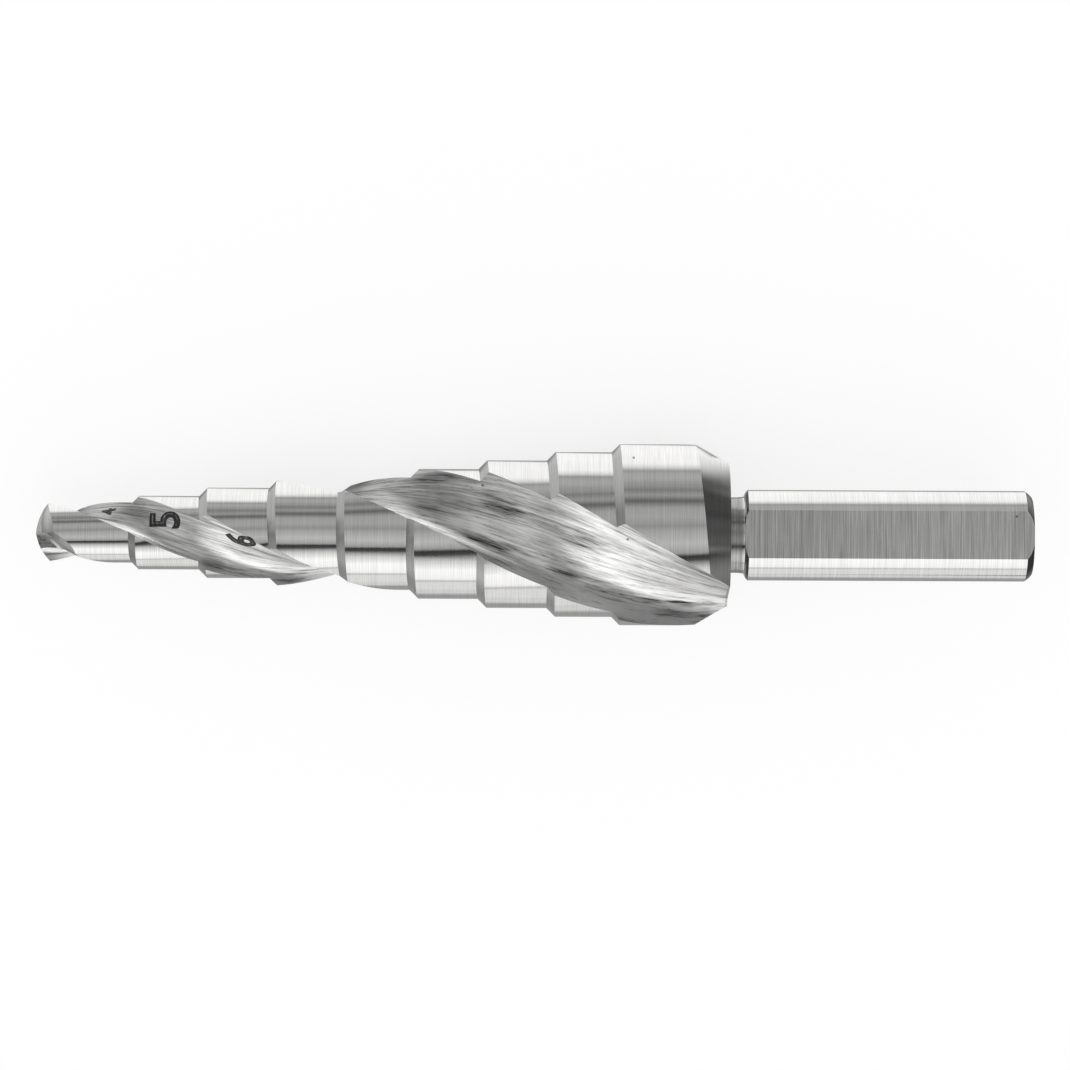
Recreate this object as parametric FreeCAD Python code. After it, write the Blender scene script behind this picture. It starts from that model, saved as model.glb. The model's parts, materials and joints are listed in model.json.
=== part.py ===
import FreeCAD, Part
import math
import os

V = FreeCAD.Vector
ALONG = V(1, 0, 0)

# Step drill for sheet: one ground bar with a split point, nine lands of
# rising diameter, two right-hand spiral flutes, a neck and a three-flat shank.
# It is worked out along +X from the tip, then laid down as it would rest.

# Lengths, mm from the tip along the axis.
overall_length = 65.9
first_land_end = 6.25
step_pitch = 4.6
top_pitch = 4.3
rear_chamfer_start = 43.65
rear_face = 45.85
neck_end = 46.85
shank_chamfer_end = 47.12
rear_end_chamfer = 0.46
chamfer_crown = 0.02
neck_hollow = 0.05

# Diameters, mm.
first_diameter = 4.0
diameter_rise = 1.0
step_count = 9
rear_chamfer_diameter = 9.75
neck_diameter = 5.1
shank_diameter = 6.0
shank_end_diameter = 5.2

# Three drive flats, 120 degrees apart.
flat_distance = 2.55
flat_angle = -1.5

# Relief behind each cutting edge from the second land on, as shares of the
# land's radius: how far the centres of land and shoulder are shifted toward
# the edge. The first land is round, and a shoulder's slope is 45 degrees.
land_relief_ratio = 0.045
shoulder_relief_ratio = 0.09
shoulder_angle = 45.0

# Spiral of the cutting edge: its angle about the axis grows with the log of
# the distance, which keeps a near constant helix angle as the drill widens.
edge_start_angle = -86.3
twist_angle = 313.0
twist_origin = 20.0

# Flute section, in units of the mean land radius. Each pair is a distance
# along the cutting face and a distance ahead of it.
mean_radius_tip = 1.5435
mean_radius_slope = 0.1087
face_depth_ratio = 0.88
flute_floor_ratios = [
    (0.74, 0.035),
    (0.64, 0.12),
    (0.56, 0.25),
    (0.485, 0.40),
    (0.41, 0.54),
    (0.34, 0.67),
    (0.26, 0.83),
    (0.18, 0.99),
    (0.06, 1.24),
    (-0.13, 1.64),
]
flute_reach_ratio = 1.8
flute_sections = 24

# Point: each flank is part of a barrel, curved tightly across its ridge and
# gently along it. The ridge leans from the axis and lies behind the edge.
flank_tilt_angle = 80.4
flank_skew_angle = 11.0
flank_curve = 1.95
ridge_curve = 4.3
flank_lead = -0.2
flank_height = -0.02

# Split of the point: a notch with two walls that meet on a line leaving the
# centre, and a bevel along its outer wall. Each triple is along the drill, out
# along the edge and ahead of it.
notch_start = (0.11, 0.19, 0.12)
notch_face_direction = (-0.22, -0.07, 0.968)
notch_back_direction = (-0.525, 0.662, 0.535)
bevel_start = (0.74, -0.175, 1.34)
bevel_direction = (-0.427, 0.466, 0.774)

# Which way the drill is turned about its axis before it comes to rest.
down_angle = 217.6


def radial(angle):
    a = math.radians(angle)
    return V(0, -math.cos(a), -math.sin(a))


def edge_angle(s):
    return edge_start_angle + twist_angle * math.log((s + twist_origin) / twist_origin)


def mean_radius(s):
    return mean_radius_tip + mean_radius_slope * s


def land_radius(index):
    return (first_diameter + diameter_rise * index) / 2


def root_position(index):
    if index == 0:
        return 0.0
    if index < step_count - 1:
        return first_land_end + step_pitch * (index - 1)
    return first_land_end + step_pitch * (step_count - 3) + top_pitch


def half_space_box(x0, x1, reach, angle):
    box = Part.makeBox(x1 - x0, 2 * reach, reach, V(x0, -reach, 0))
    box.rotate(V(0, 0, 0), ALONG, angle + 90)
    return box


# First land, round and long, up into the next step.
def first_land():
    start = -diameter_rise
    length = first_land_end + diameter_rise - start
    return Part.makeCylinder(first_diameter / 2, length, V(start, 0, 0), ALONG)


# One land of a later step. The land is round about a centre shifted toward its
# cutting edge, so it clears the cut, and the shoulder cone is shifted more.
def half_step(index, side):
    radius = land_radius(index)
    root = root_position(index)
    if index < step_count - 1:
        finish = root_position(index + 1) + diameter_rise
        edge = edge_angle((root + root_position(index + 1)) / 2)
    else:
        finish = rear_face
        edge = edge_angle((root + rear_chamfer_start) / 2)
    edge = edge + 180 * side
    land_shift = radial(edge) * radius * land_relief_ratio
    cone_shift = radius * shoulder_relief_ratio
    slope = math.tan(math.radians(shoulder_angle))
    start = root - (land_radius(index - 1) - cone_shift) / slope
    land = Part.makeCylinder(
        radius * (1 - land_relief_ratio),
        finish - start,
        V(start, 0, 0) + land_shift,
        ALONG,
    )
    cone = Part.makeCone(
        0,
        3 * radius * slope,
        3 * radius,
        V(start, 0, 0) + radial(edge) * cone_shift,
        ALONG,
    )
    half = half_space_box(start, finish, 2 * radius, edge + 55)
    return land.common(cone).common(half)


# Waste above the flank behind one cutting edge: a block with a barrel taken out
# of it. The barrel is a parabola turned about a line that lies under the ridge.
def above_flank(side):
    tilt = math.radians(flank_tilt_angle)
    lip = edge_angle(first_diameter / 5) + 180 * side
    out = radial(lip + flank_skew_angle)
    across = radial(lip + flank_skew_angle + 90)
    down = ALONG * math.sin(tilt) - out * math.cos(tilt)
    top = ALONG * flank_height + across * flank_lead
    sag = ridge_curve * 0.95
    width = math.sqrt(2 * flank_curve * sag)
    curve = Part.BezierCurve()
    curve.setPoles([
        top - across * width + down * sag,
        top - down * sag,
        top + across * width + down * sag,
    ])
    centre = top + down * ridge_curve
    low_left = centre - across * width
    low_right = centre + across * width
    wire = Part.Wire([
        curve.toShape(),
        Part.makeLine(curve.getPole(3), low_right),
        Part.makeLine(low_right, low_left),
        Part.makeLine(low_left, curve.getPole(1)),
    ])
    profile = Part.Face(wire)
    profile.rotate(centre, across, -95)
    barrel = profile.revolve(centre, across, 190)
    block = beyond_plane(top + down * sag, down * -1, 2 * first_diameter)
    return block.cut(barrel)


def section_point(s, side, face_distance, ahead):
    r = mean_radius(s)
    edge = edge_angle(s) + 180 * side
    return ALONG * s + radial(edge) * (face_distance * r) + radial(edge - 90) * (ahead * r)


# Section of one flute: a straight cutting face that points at the axis, a
# rounded bottom and a long run up to the heel of the next land.
def flute_section(s, side):
    outer = section_point(s, side, flute_reach_ratio, 0)
    bottom = section_point(s, side, face_depth_ratio, 0)
    floor_points = [bottom]
    for face_distance, ahead in flute_floor_ratios:
        floor_points.append(section_point(s, side, face_distance, ahead))
    floor = Part.BSplineCurve()
    floor.interpolate(Points=floor_points)
    corner = section_point(s, side, flute_reach_ratio * 0.95, flute_reach_ratio * 0.85)
    last = floor_points[-1]
    return Part.Wire([
        Part.makeLine(outer, bottom),
        floor.toShape(),
        Part.makeLine(last, corner),
        Part.makeLine(corner, outer),
    ])


def flute(side):
    first = -2.0
    last = rear_face + 2.0
    turn = math.log((last + twist_origin) / (first + twist_origin))
    wires = []
    for i in range(flute_sections + 1):
        s = (first + twist_origin) * math.exp(turn * i / flute_sections) - twist_origin
        wires.append(flute_section(s, side))
    return Part.makeLoft(wires, True, False)


def beyond_plane(point, normal, size):
    box = Part.makeBox(2 * size, 2 * size, size, V(-size, -size, 0))
    box.rotate(V(0, 0, 0), V(0, 0, 1).cross(normal), math.degrees(V(0, 0, 1).getAngle(normal)))
    box.translate(point)
    return box


# Notch that thins the web in front of one edge, with the bevel on its wall.
def notch(side):
    lip = edge_angle(first_diameter / 5) + 180 * side
    out = radial(lip)
    ahead = radial(lip - 90)

    def placed(triple):
        return ALONG * triple[0] + out * triple[1] + ahead * triple[2]

    size = 1.5 * first_diameter
    start = placed(notch_start)
    before_edge = beyond_plane(start, placed(notch_face_direction), size)
    wall = beyond_plane(start, placed(notch_back_direction), size)
    bevel = beyond_plane(placed(bevel_start), placed(bevel_direction), size)
    return [wall.common(before_edge), bevel.common(before_edge)]


def cutting_body():
    front = first_land().cut(above_flank(0)).cut(above_flank(1))
    halves = []
    for index in range(1, step_count):
        halves.append(half_step(index, 0))
        halves.append(half_step(index, 1))
    body = front.multiFuse(halves)
    slope = (land_radius(step_count - 1) - rear_chamfer_diameter / 2)
    slope = slope / (rear_face - rear_chamfer_start)
    length = rear_face + 5.0
    rear = Part.makeCone(
        rear_chamfer_diameter / 2 + slope * length,
        rear_chamfer_diameter / 2,
        length,
        V(rear_face - length, 0, 0),
        ALONG,
    )
    body = body.common(rear)
    return body.cut([flute(0), flute(1)] + notch(0) + notch(1))


# Neck and shank, turned in one profile, then three flats ground on it.
def shank_body():
    inside = rear_face - 0.2
    neck_r = neck_diameter / 2
    waist = V((rear_face + neck_end) / 2, neck_r - neck_hollow, 0)
    p0 = V(inside, 0, 0)
    p1 = V(inside, neck_r, 0)
    p2 = V(neck_end, neck_r, 0)
    p3 = V(shank_chamfer_end, shank_diameter / 2, 0)
    p4 = V(overall_length - rear_end_chamfer, shank_diameter / 2, 0)
    p5 = V(overall_length, shank_end_diameter / 2, 0)
    p6 = V(overall_length, 0, 0)
    front_round = (p2 + p3) / 2 + V(-chamfer_crown, chamfer_crown, 0)
    rear_round = (p4 + p5) / 2 + V(chamfer_crown, chamfer_crown, 0)
    wire = Part.Wire([
        Part.makeLine(p0, p1),
        Part.Arc(p1, waist, p2).toShape(),
        Part.Arc(p2, front_round, p3).toShape(),
        Part.makeLine(p3, p4),
        Part.Arc(p4, rear_round, p5).toShape(),
        Part.makeLine(p5, p6),
        Part.makeLine(p6, p0),
    ])
    shank = Part.Face(wire).revolve(V(0, 0, 0), ALONG, 360)
    length = overall_length - neck_end + 1.0
    for i in range(3):
        waste = Part.makeBox(length, shank_diameter * 2, shank_diameter)
        waste.translate(V(neck_end - 0.02, -shank_diameter, flat_distance))
        waste.rotate(V(0, 0, 0), ALONG, flat_angle + 120 * i + 90)
        shank = shank.cut(waste)
    return shank


def nearest_on_segment(a, b, target):
    run = b - a
    if run.Length < 1e-9:
        return a
    share = (target - a).dot(run) / run.dot(run)
    return a + run * max(0.0, min(1.0, share))


def holds(a, b, c, target, down):
    turns = [
        (b - a).cross(target - a).dot(down),
        (c - b).cross(target - b).dot(down),
        (a - c).cross(target - c).dot(down),
    ]
    return min(turns) >= 0 or max(turns) <= 0


# Resting place: the drill tips over its lowest point, then over its lowest
# edge, until three of its corners carry its centre of mass.
def settled_down(shape, down):
    corners = shape.tessellate(0.02)[0]
    centre = shape.CenterOfMass
    for attempt in range(40):
        lowest = max(p.dot(down) for p in corners)
        touching = [p for p in corners if p.dot(down) > lowest - 1e-4]
        target = centre + down * (lowest - centre.dot(down))
        pivot = touching[0]
        for a in touching:
            for b in touching:
                near = nearest_on_segment(a, b, target)
                if (near - target).Length < (pivot - target).Length:
                    pivot = near
                for c in touching:
                    if holds(a, b, c, target, down) and (b - a).cross(c - a).Length > 0.1:
                        return down
        toward = target - pivot
        toward.normalize()
        turns = []
        for p in corners:
            reach = (p - pivot).dot(toward)
            if reach > 1e-3:
                turns.append(math.atan2(-(p - pivot).dot(down), reach))
        turn = min(turns)
        down = down * math.cos(turn) + toward * math.sin(turn)
        down.normalize()
    return down


# The row frame: +Z up, +X along the drill toward the shank, origin on the
# ground under the middle of the drill.
def lay_down(shape):
    up = settled_down(shape, radial(down_angle)) * -1
    length_way = ALONG - up * ALONG.dot(up)
    length_way.normalize()
    turn = FreeCAD.Rotation(length_way, up.cross(length_way), up, "XYZ").inverted()
    corners = [turn.multVec(p) for p in shape.tessellate(0.02)[0]]
    middle_x = (min(p.x for p in corners) + max(p.x for p in corners)) / 2
    middle_y = (min(p.y for p in corners) + max(p.y for p in corners)) / 2
    ground = min(p.z for p in corners)
    return FreeCAD.Placement(V(-middle_x, -middle_y, -ground), turn)


drill = cutting_body().fuse(shank_body()).removeSplitter().Solids[0]
pose = lay_down(drill)
drill.Placement = pose
os.makedirs("parts", exist_ok=True)
drill.exportStep("parts/step_drill.step")
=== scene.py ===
import json
import math

import bmesh
import bpy
from mathutils import Matrix, Vector

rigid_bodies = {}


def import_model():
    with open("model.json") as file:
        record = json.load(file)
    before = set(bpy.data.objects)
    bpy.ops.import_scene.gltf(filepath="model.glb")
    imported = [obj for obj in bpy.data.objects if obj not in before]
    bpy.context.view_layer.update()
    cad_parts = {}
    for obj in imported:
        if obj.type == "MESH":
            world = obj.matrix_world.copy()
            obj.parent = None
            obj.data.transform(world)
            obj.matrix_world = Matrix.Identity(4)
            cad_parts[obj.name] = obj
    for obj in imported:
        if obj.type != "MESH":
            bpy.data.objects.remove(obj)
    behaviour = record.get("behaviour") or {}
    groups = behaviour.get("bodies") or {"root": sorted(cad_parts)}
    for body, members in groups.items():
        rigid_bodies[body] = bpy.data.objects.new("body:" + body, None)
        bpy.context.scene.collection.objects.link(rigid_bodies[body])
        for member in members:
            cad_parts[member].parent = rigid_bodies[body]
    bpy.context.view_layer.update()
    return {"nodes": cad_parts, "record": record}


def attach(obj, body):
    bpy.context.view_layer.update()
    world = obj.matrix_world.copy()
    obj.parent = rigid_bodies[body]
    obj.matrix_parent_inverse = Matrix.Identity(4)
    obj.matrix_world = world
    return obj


for leftover in list(bpy.data.objects):
    bpy.data.objects.remove(leftover)

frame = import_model()

# The drill: one bar of high-speed steel, ground all over. The lands, shoulders
# and shank are ground round, so their marks run round the bar; the flutes are
# ground along their length, so theirs follow the spiral.
per_metre = 1000.0
drill_length = 65.9
flat_turn = 1.5
mounts = {mount["name"]: mount for mount in frame["record"]["mounts"]}
along = Vector(mounts["shank_end"]["axis"]).normalized()
tip = Vector(mounts["shank_end"]["pos_m"]) - along * (drill_length / per_metre)
first_flat = Vector(mounts["shank_flat_a"]["axis"])
facing = Matrix.Rotation(math.radians(flat_turn), 3, along) @ first_flat
facing = (facing - along * facing.dot(along)).normalized()
lower = along.cross(facing).normalized()

twist_angle = 313.0
twist_origin = 20.0
edge_start_angle = -86.3
mean_radius_tip = 1.5435
mean_radius_slope = 0.1087


def on_drill(station, angle, radius):
    turn = math.radians(angle)
    outward = facing * math.cos(turn) + lower * math.sin(turn)
    return tip + (along * station + outward * radius) / per_metre


def edge_angle(station):
    return twist_angle * math.log((station + twist_origin) / twist_origin) + edge_start_angle


# A socket in a node tree. A sum written on it adds the nodes that work it out.
class Socket:
    def __init__(self, tree, socket=None):
        self.tree = tree
        self.socket = socket

    def node(self, kind, settings=None, sockets=None, out=0):
        made = self.tree.nodes.new(kind)
        for name, value in (settings or {}).items():
            if name == "stops":
                elements = made.color_ramp.elements
                while len(elements) < len(value):
                    elements.new(0.5)
                for element, (place, level) in zip(elements, value):
                    element.position = place
                    element.color = (level, level, level, 1.0)
            else:
                setattr(made, name, value)
        for key, value in (sockets or {}).items():
            if isinstance(value, Socket):
                self.tree.links.new(value.socket, made.inputs[key])
            else:
                made.inputs[key].default_value = value
        return Socket(self.tree, made.outputs[out] if len(made.outputs) else None)

    def math(self, operation, *values):
        sockets = dict(enumerate(values))
        return self.node("ShaderNodeMath", {"operation": operation}, sockets)

    def __add__(self, other):
        return self.math("ADD", self, other)

    def __radd__(self, other):
        return self.math("ADD", other, self)

    def __sub__(self, other):
        return self.math("SUBTRACT", self, other)

    def __rsub__(self, other):
        return self.math("SUBTRACT", other, self)

    def __mul__(self, other):
        return self.math("MULTIPLY", self, other)

    def __rmul__(self, other):
        return self.math("MULTIPLY", other, self)

    def __truediv__(self, other):
        return self.math("DIVIDE", self, other)

    def __rtruediv__(self, other):
        return self.math("DIVIDE", other, self)

    def __gt__(self, other):
        return self.math("GREATER_THAN", self, other)

    def __lt__(self, other):
        return self.math("LESS_THAN", self, other)

    def rise(self, low, high):
        return self.node(
            "ShaderNodeMapRange",
            {"interpolation_type": "SMOOTHSTEP"},
            {"Value": self, "From Min": low, "From Max": high},
        )

    def dot(self, direction):
        return self.node(
            "ShaderNodeVectorMath",
            {"operation": "DOT_PRODUCT"},
            {0: self, 1: tuple(direction)},
            "Value",
        )

    def grain(self, x, y, z, detail=3.0, roughness=0.6):
        place = self.node("ShaderNodeCombineXYZ", {}, {0: x, 1: y, 2: z})
        return self.node(
            "ShaderNodeTexNoise",
            {},
            {"Vector": place, "Scale": 1.0, "Detail": detail, "Roughness": roughness},
            "Fac",
        )


def new_material(name):
    material = bpy.data.materials.new(name)
    material.use_nodes = True
    material.node_tree.nodes.clear()
    return material, Socket(material.node_tree)


steel, tree = new_material("ground_high_speed_steel")
place = tree.node("ShaderNodeTexCoord", {}, {}, "Object")
normal = tree.node("ShaderNodeNewGeometry", {}, {}, "Normal")

# Where a point lies on the drill, in mm: from the tip, out from the axis over the
# first flat, and down or up beside it. Then its place in the flute's section,
# which turns with the spiral and grows with the drill.
from_tip = place.dot(along * per_metre) - tip.dot(along) * per_metre
front = place.dot(facing * per_metre) - tip.dot(facing) * per_metre
low = place.dot(lower * per_metre) - tip.dot(lower) * per_metre
height = low * -1
radius = tree.math("SQRT", front * front + low * low)
mean_radius = from_tip * mean_radius_slope + mean_radius_tip
log_place = tree.math("LOGARITHM", (from_tip + twist_origin) / twist_origin, math.e)
edge = log_place * math.radians(twist_angle) + math.radians(edge_start_angle)
turned = tree.math("ARCTAN2", low, front) - edge
edgeward = radius / mean_radius * tree.math("COSINE", turned)
sideward = radius / mean_radius * tree.math("SINE", turned)

# Which surface it is on, from its place and from the way that it faces: shankward
# is its normal's share toward the shank, outward its share straight out.
flute_end = 45.7
rear_face = 45.9
neck_end = 46.8
point_end = 3.2
web_reach = 0.7
shank_round = 2.97
shoulder_lean = -0.5
chamfer_lean = 0.42
flank_lean = -0.38
level_lean = 0.1
cone_out = 0.5
land_out = 0.99
shank_out = 0.995
shankward = normal.dot(along)
outward = (normal.dot(facing) * front + normal.dot(lower) * low) / radius
in_section = edgeward * edgeward + sideward * sideward
near_axis = (in_section < web_reach ** 2) * (from_tip < rear_face)
on_shank = from_tip > flute_end
leaning = (shankward < shoulder_lean) + (shankward > chamfer_lean)
on_cone = leaning * (outward > cone_out) * (1 - near_axis)
on_land = (outward > land_out) * (1 - near_axis) * (1 - on_shank)
on_point = (from_tip < point_end) * (shankward < flank_lean) * (1 - on_land)
on_back = on_cone * (shankward > chamfer_lean) * (from_tip < rear_face)
on_end = on_cone * (from_tip > neck_end)
on_neck = (from_tip > rear_face) * (from_tip < neck_end)
on_shoulder = on_cone * (1 - on_back) * (1 - on_shank)
in_flute = (1 - on_land) * (1 - on_shank) * (1 - on_cone) * (1 - on_point)
not_round = tree.math("MAXIMUM", outward < shank_out, radius < shank_round)
on_flat = on_shank * not_round * (tree.math("ABSOLUTE", shankward) < level_lean)

# Marks of the wheel: rings round the lands and shank, streaks, scores and
# clusters of them along the flutes, and a faint cloud over it all.
rings = tree.grain(from_tip * 13.0, front * 0.15, low * 0.15, 5.0, 0.75)
fine_rings = tree.grain(from_tip * 40.0, front * 0.3, low * 0.3, 2.0, 0.6)
chatter = tree.grain(from_tip * 11.0, front * 3.0, low * 3.0, 3.0, 0.65)
streaks = tree.grain(edgeward * 34.0, sideward * 34.0, from_tip * 0.3, 4.0, 0.75)
broad_streaks = tree.grain(edgeward * 9.0, sideward * 9.0, from_tip * 0.22, 3.0, 0.6)
score = tree.grain(edgeward * 40.0, sideward * 40.0, from_tip * 0.35, 1.0, 0.5)
cluster = tree.grain(edgeward * 5.0, sideward * 5.0, from_tip * 0.16, 3.0, 0.6)
cloud = tree.grain(from_tip * 0.5, front * 0.5, low * 0.5, 3.0, 0.55)
scored = 1 - tree.math("ABSOLUTE", score - 0.5).rise(0.0, 0.05)
clustered = cluster.rise(0.50, 0.66)
ring_marks = (rings - 0.5) * 0.8 + (fine_rings - 0.5) * 0.9
flute_marks = (streaks - 0.5) * 0.9 + (broad_streaks - 0.5) * 0.7
round_marks = ring_marks * 0.3 + (chatter - 0.5) * 1.3
marks = round_marks * (1 - in_flute) + flute_marks * in_flute

steel_tone = 0.70
flute_tone = 0.06 + flute_marks * 1.8 - 0.22 * scored - 0.36 * clustered
tone = steel_tone + ring_marks * (1 - in_flute) * (0.42 + on_flat * 0.6)
tone = tone + in_flute * flute_tone + (cloud - 0.5) * 0.08

# Painted reflections in a flute, darker or paler patches broken up by the streaks: place
# from the tip and up from the axis, half length, half width, lean in degrees and how much paler.
painted_reflection_patches = [
    (30.8, 1.75, 1.9, 0.6, -20, -0.40), (34.9, -2.4, 1.7, 0.6, -25, -0.44),
    (11.8, -2.0, 1.1, 0.6, -20, -0.32), (42.0, -5.2, 1.8, 0.4, -8, -0.25),
    (26.5, 3.7, 2.6, 0.5, 6, -0.30), (24.5, 2.6, 2.0, 0.7, -18, -0.24),
    (10.2, 1.5, 1.3, 0.5, -25, -0.18), (28.3, 0.9, 2.2, 0.8, -22, 0.36),
    (6.5, 0.5, 1.5, 0.5, -28, 0.42),
]
far_side = -3.0
for station, level, half_length, half_width, lean, paler in painted_reflection_patches:
    lean_cosine = math.cos(math.radians(lean))
    lean_sine = math.sin(math.radians(lean))
    run = (from_tip - station) * lean_cosine + (height - level) * lean_sine
    off = (height - level) * lean_cosine - (from_tip - station) * lean_sine
    inside = 1 - run * run / half_length ** 2 - off * off / half_width ** 2
    flute_painted_reflection = in_flute * (front > far_side) * inside.rise(0.0, 1.0)
    # Each patch adds painted reflection to the tone.
    tone = tone + flute_painted_reflection * (streaks + 0.5) * paler

# A flute gets painted light: a painted highlight along its edges and where it faces down,
# and painted shade where it faces up. The flats are ground coarser and look duller.
painted_edge_highlight = tree.math("ABSOLUTE", edgeward).rise(0.5, 0.8)
painted_shade_facing_up = normal.dot(lower * -1).rise(0.1, 0.6) * (1 - painted_edge_highlight)
painted_light_facing_down = normal.dot(lower).rise(0.3, 0.8)
# Painted highlight and shade on the flutes, by the way they face.
tone = tone * (1 + in_flute * (0.08 * painted_light_facing_down + 0.4 * painted_edge_highlight - 0.5 * painted_shade_facing_up))
tone = tone - on_flat * (0.14 - 0.06 * from_tip.rise(48.0, 60.0))

# Pits in the steel: place from the tip and up from the axis.
pits = [(39.5, 5.05), (39.1, -0.3), (29.6, 3.2), (64.7, 1.3)]
pit_dark = 0.7
for station, level in pits:
    away = (from_tip - station) * (from_tip - station) + (height - level) * (height - level)
    tone = tone * (1 - pit_dark * (front > 0.0) * (1 - away.rise(0.001, 0.012)))

# Painted shade and highlight: shoulders, chamfers and neck are painted duller than the
# lands, the shoulders paler low down and darker toward their top, and the point's upper side
# is painted brighter. The rear chamfer carries a painted reflection, pale at its top to dark,
# with a paler line below its middle.
tone = tone * (1 + on_shoulder * (0.4 - 0.6 * height.rise(-3.5, 0.0)))
tone = tone * (1 + on_point * 0.38 * height.rise(-0.3, 0.3))
tone = tone * (1 - on_cone * 0.45) * (1 - on_end * 0.72) * (1 - on_neck * 0.4)
# Painted reflection on the rear chamfer.
rear_painted_highlight = 0.6 * height.rise(3.4, 5.0) + 0.25 * height.rise(4.9, 5.7)
rear_painted_reflection = 0.62 - 0.38 * height.rise(1.8, 3.3) + rear_painted_highlight
rear_painted_pale_line = height.rise(-1.4, -1.0) * (1 - height.rise(-1.0, -0.6))
tone = tone * (1 + on_back * (rear_painted_reflection * 1.8 + rear_painted_pale_line * 1.3 - 1))

# The notch that splits the point: its wall and the bevel on it get painted shade.
notch_way = tree.math("ABSOLUTE", normal.dot(facing * 0.949 + lower * 0.2))
bevel_way = tree.math("ABSOLUTE", normal.dot(facing * 0.614 + lower * 0.661))
on_notch = notch_way - shankward * 0.22 > 0.98
on_bevel = bevel_way - shankward * 0.427 > 0.98
notch_painted_shade = on_notch * 0.58 + on_bevel * (0.8 - 0.35 * from_tip.rise(0.9, 2.2))
tone = tone * (1 - (from_tip < point_end) * notch_painted_shade)

rough = 0.08 + (rings - 0.5) * 0.06 + in_flute * 0.27
rough = rough + on_cone * 0.12 + on_point * 0.14 + on_flat * 0.12
color = tree.node("ShaderNodeCombineColor", {}, {0: tone, 1: tone * 0.995, 2: tone * 0.985})
bump = tree.node(
    "ShaderNodeBump",
    {},
    {"Strength": 0.6, "Distance": 0.00001, "Height": marks * (0.35 + in_flute * 0.65)},
)
shader = tree.node(
    "ShaderNodeBsdfPrincipled",
    {},
    {"Base Color": color, "Metallic": 1.0, "Roughness": rough, "Normal": bump},
)
tree.node("ShaderNodeOutputMaterial", {}, {"Surface": shader})

drill = frame["nodes"]["step_drill"]
drill.material_slots[0].material = steel

# Size numbers: the diameter in mm that each step cuts, etched black in the first
# flute, the top of each digit toward the point. The middle of each line is paler.
measured_from = 10.0
black_grow = 0.03
black_lift = 0.012
pale_grow = -0.035
pale_lift = 0.018
capital_height = 0.73
longest_edge = 0.12


def etching(name, dark, pale):
    material, tree = new_material(name)
    slant = Vector((1, 1, 1)) / 3
    spot = tree.node("ShaderNodeTexCoord", {}, {}, "Object").dot(slant)
    blotch = tree.node("ShaderNodeTexNoise", {}, {"Vector": spot, "Scale": 9000.0}, "Fac")
    shade = dark + (pale - dark) * blotch.rise(0.4, 0.65)
    color = tree.node("ShaderNodeCombineColor", {}, {0: shade, 1: shade, 2: shade})
    surface = {"Base Color": color, "Roughness": 0.6}
    shader = tree.node("ShaderNodeBsdfPrincipled", {}, surface)
    tree.node("ShaderNodeOutputMaterial", {}, {"Surface": shader})
    return material


def on_surface(start, direction):
    to_world = drill.matrix_world
    to_drill = to_world.inverted()
    hit = drill.ray_cast(to_drill @ start, to_drill.to_3x3() @ direction)
    return to_world @ hit[1], (to_world.to_3x3() @ hit[2]).normalized()


def flat_number(label, tall, grow):
    text = bpy.data.curves.new("text", "FONT")
    text.body = label
    text.offset = grow
    source = bpy.data.objects.new("text", text)
    bpy.context.scene.collection.objects.link(source)
    graph = bpy.context.evaluated_depsgraph_get()
    mesh = bpy.data.meshes.new_from_object(source.evaluated_get(graph))
    bpy.data.objects.remove(source)
    shape = bmesh.new()
    shape.from_mesh(mesh)
    xs = [corner.co.x for corner in shape.verts]
    ys = [corner.co.y for corner in shape.verts]
    middle = Vector(((min(xs) + max(xs)) / 2, (min(ys) + max(ys)) / 2, 0))
    for corner in shape.verts:
        corner.co = (corner.co - middle) * (tall / capital_height)
    for halving in range(6):
        bmesh.ops.triangulate(shape, faces=shape.faces)
        long_edges = [side for side in shape.edges if side.calc_length() > longest_edge]
        bmesh.ops.subdivide_edges(shape, edges=long_edges, cuts=1)
    bmesh.ops.triangulate(shape, faces=shape.faces)
    return mesh, shape


def size_number(name, label, station, behind, tall, wide, grow, lift, material):
    mesh, shape = flat_number(label, tall, grow)
    angle = edge_angle(station) + behind
    outside = on_drill(station, angle, measured_from)
    centre, up = on_surface(outside, (on_drill(station, angle, 0) - outside).normalized())
    top = (up * up.dot(along) - along).normalized()
    right = top.cross(up)
    for corner in shape.verts:
        spread = up + right * corner.co.x * wide + top * corner.co.y
        seat = on_surface(centre + spread / per_metre, up * -1)[0]
        corner.co = seat + up * (lift / per_metre)
    shape.to_mesh(mesh)
    shape.free()
    mesh.materials.append(material)
    number = bpy.data.objects.new(name, mesh)
    bpy.context.scene.collection.objects.link(number)
    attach(number, "root")


black = etching("etched_line", 0.006, 0.03)
grey = etching("etched_middle", 0.03, 0.22)

# Each number's place from the tip, its angle behind the cutting edge, its height
# in mm and the share of its width that is kept.
seventh_place = 19.0
step_pitch = 4.6
numbers = [
    ("4", 4.83, -54.5, 0.95, 0.9),
    ("5", 8.65, -55, 2.05, 0.9),
    ("6", 13.7, -66, 2.05, 0.78),
]
for steps_on, label in enumerate(["7", "8", "9", "10", "11"]):
    numbers.append((label, seventh_place + step_pitch * steps_on, -62, 2.05, 0.9))
numbers.append(("12", 41.8, -62, 2.05, 0.9))
for label, station, behind, tall, wide in numbers:
    place_and_size = (label, station, behind, tall, wide)
    size_number("size_" + label, *place_and_size, black_grow, black_lift, black)
    size_number("size_middle_" + label, *place_and_size, pale_grow, pale_lift, grey)
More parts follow.
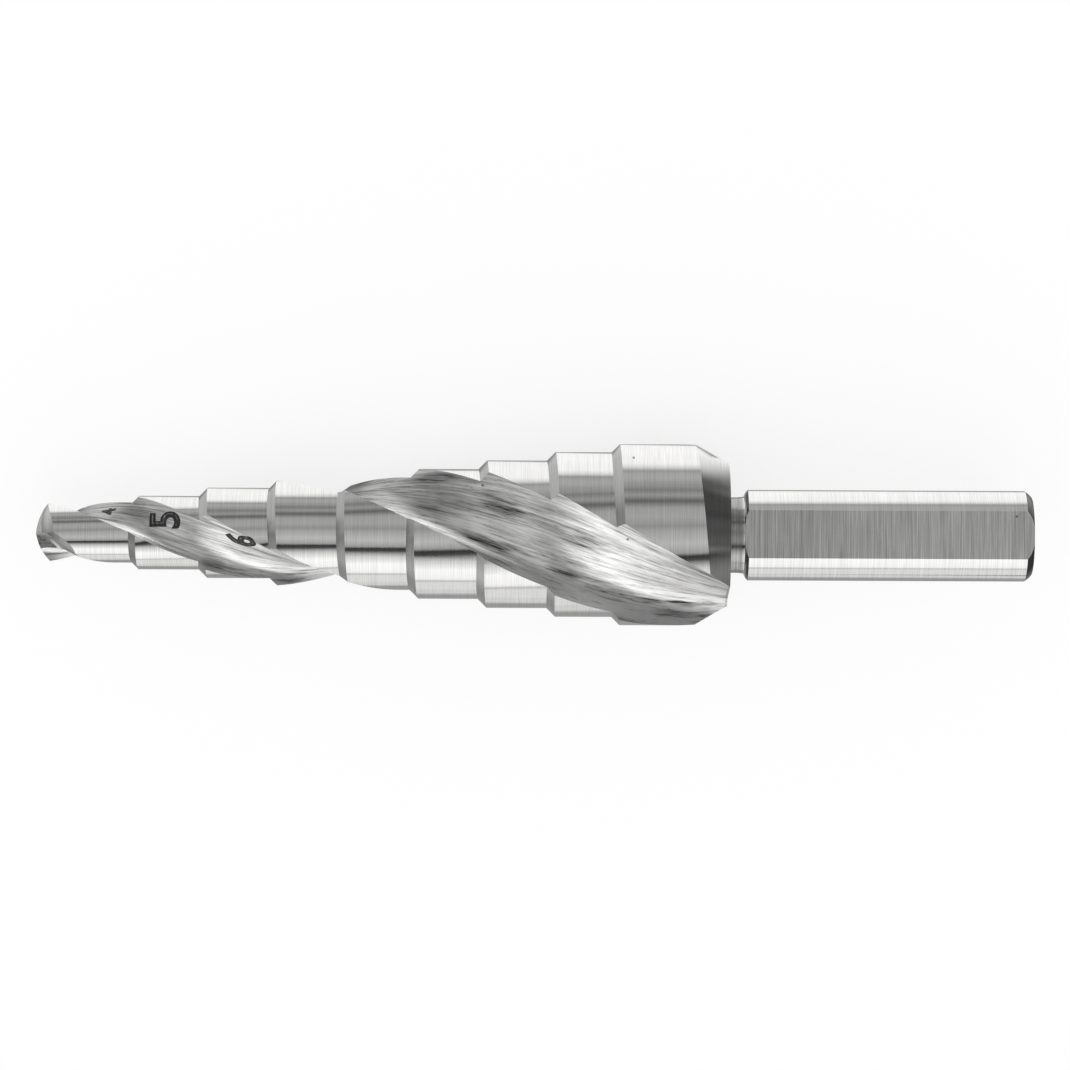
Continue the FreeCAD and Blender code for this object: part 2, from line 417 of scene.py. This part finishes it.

# Floor: a sheet of white paper that the drill lies on and throws its shadow on.
# To mirror rays it glows with a painted reflection instead, which the ground steel mirrors:
# a painted shadow right under the drill, then brighter and duller bands on each side,
# dimmer toward the shank.
paper_size = 6.0
bpy.ops.mesh.primitive_plane_add(size=paper_size, location=(0, 0, 0))
floor = bpy.context.object
floor.name = "floor"
paper, tree = new_material("white_paper")
spot = tree.node("ShaderNodeTexCoord", {}, {}, "Object")
toward_top = spot.dot((0, per_metre, 0))
toward_shank = spot.dot((per_metre, 0, 0))
neck_place = 13.4
middle_radius = 5.13
shank_radius = 3.0
beyond_neck = toward_shank > neck_place
taper = middle_radius + mean_radius_slope * toward_shank
girth = taper * (1 - beyond_neck) + shank_radius * beyond_neck
above = [
    (0, 0.38), (0.15, 0.38), (0.5, 1.15), (3, 1.28), (9, 1.25), (13.5, 0.82), (16.5, 0.40),
    (21, 0.50), (33, 0.52), (72, 0.46), (100, 0.42),
]
below = [(0, 0.38), (18, 0.40), (26, 0.62), (36, 0.86), (100, 0.86)]
reach = 100
covered = 0.8
stops = [(place / reach, level) for place, level in above]
clear = (toward_top - girth * covered) / reach
shown_above = tree.node("ShaderNodeValToRGB", {"stops": stops}, {"Fac": clear})
stops = [(place / reach, level) for place, level in below]
clear = (toward_top * -1 - girth * covered) / reach
shown_below = tree.node("ShaderNodeValToRGB", {"stops": stops}, {"Fac": clear})
shown = tree.math("MAXIMUM", shown_above, shown_below)
shown = shown * (1 - 0.75 * toward_shank.rise(36.0, 60.0))
# Painted reflection: mirror rays see the floor as a glow, not as lit paper.
mirrored = tree.node("ShaderNodeLightPath", {}, {}, "Is Glossy Ray")
matt = tree.node("ShaderNodeBsdfDiffuse", {}, {"Color": (1, 1, 1, 1)})
glow = tree.node("ShaderNodeEmission", {}, {"Color": (1, 1, 1, 1), "Strength": 1.0})
lit = tree.node("ShaderNodeMixShader", {}, {0: 0.75, 1: matt, 2: glow})
shade = tree.node("ShaderNodeCombineColor", {}, {0: shown, 1: shown, 2: shown})
floor_painted_glow = tree.node("ShaderNodeEmission", {}, {"Color": shade, "Strength": 1.0})
mixed = tree.node("ShaderNodeMixShader", {}, {0: mirrored, 1: lit, 2: floor_painted_glow})
tree.node("ShaderNodeOutputMaterial", {}, {"Surface": mixed})
floor.data.materials.append(paper)

# Studio: an even white tent round the drill. What the steel mirrors of it are
# panels in grey and white, by their angle round the drill from the viewer, with
# a bright softbox along one side and two dark gaps.
world = bpy.data.worlds.new("studio")
bpy.context.scene.world = world
world.use_nodes = True
world.node_tree.nodes.clear()
tree = Socket(world.node_tree)
look = tree.node("ShaderNodeTexCoord", {}, {}, "Generated")
turn = tree.math("ARCTAN2", look.dot(lower * -1), look.dot(facing)) / (2 * math.pi) + 0.5
panels = [
    (-180, 0.88), (-100, 0.97), (-95, 0.95), (-92.5, 0.55), (-90, 1.1), (-87, 1.25), (-67, 1.35),
    (-49, 0.8), (-42, 0.4), (-38, 0.08), (-32, 0.03), (-29, 0.45), (-16, 0.66), (0, 0.5),
    (7, 0.38), (18, 0.5), (30, 0.46), (40, 0.15), (48, 0.42), (56, 0.26), (63, 0.42),
    (90, 0.5), (180, 1.0),
]
stops = [(angle / 360 + 0.5, level) for angle, level in panels]
around = tree.node("ShaderNodeValToRGB", {"stops": stops}, {"Fac": turn})
endways = look.dot(along)
dim_end = around * (1 - 0.7 * endways.rise(0.2, 0.7))
to_tip = (endways * -1).rise(0.4, 0.9)
tip_wall = 0.5
shown = dim_end * (1 - to_tip) + tip_wall * to_tip
mirrored = tree.node("ShaderNodeLightPath", {}, {}, "Is Glossy Ray")
seen = 1 + (shown - 1) * mirrored
shade = tree.node("ShaderNodeCombineColor", {}, {0: seen, 1: seen, 2: seen})
sky = tree.node("ShaderNodeBackground", {}, {"Color": shade, "Strength": 1.0})
tree.node("ShaderNodeOutputWorld", {}, {"Surface": sky})

# Viewer: a long lens square to the drill, which lies level in the picture
# with its point at the left.
distance = 300.0
framed_width = 70.9
middle_station = 33.05
aim_low = 0.05
sensor_width = 36.0
camera_data = bpy.data.cameras.new("camera")
camera_data.sensor_width = sensor_width
camera_data.lens = sensor_width * distance / framed_width
camera_data.clip_start = 0.01
camera = bpy.data.objects.new("camera", camera_data)
bpy.context.scene.collection.objects.link(camera)
roll = 0.0044
picture_up = (lower * -1 - along * roll).normalized()
picture_right = (along - lower * roll).normalized()
eye = on_drill(middle_station, 0, distance) + lower * (aim_low / per_metre)
camera.matrix_world = Matrix((
    (picture_right.x, picture_up.x, facing.x, eye.x),
    (picture_right.y, picture_up.y, facing.y, eye.y),
    (picture_right.z, picture_up.z, facing.z, eye.z),
    (0, 0, 0, 1),
))
bpy.context.scene.camera = camera
bpy.context.scene.view_settings.view_transform = "Standard"
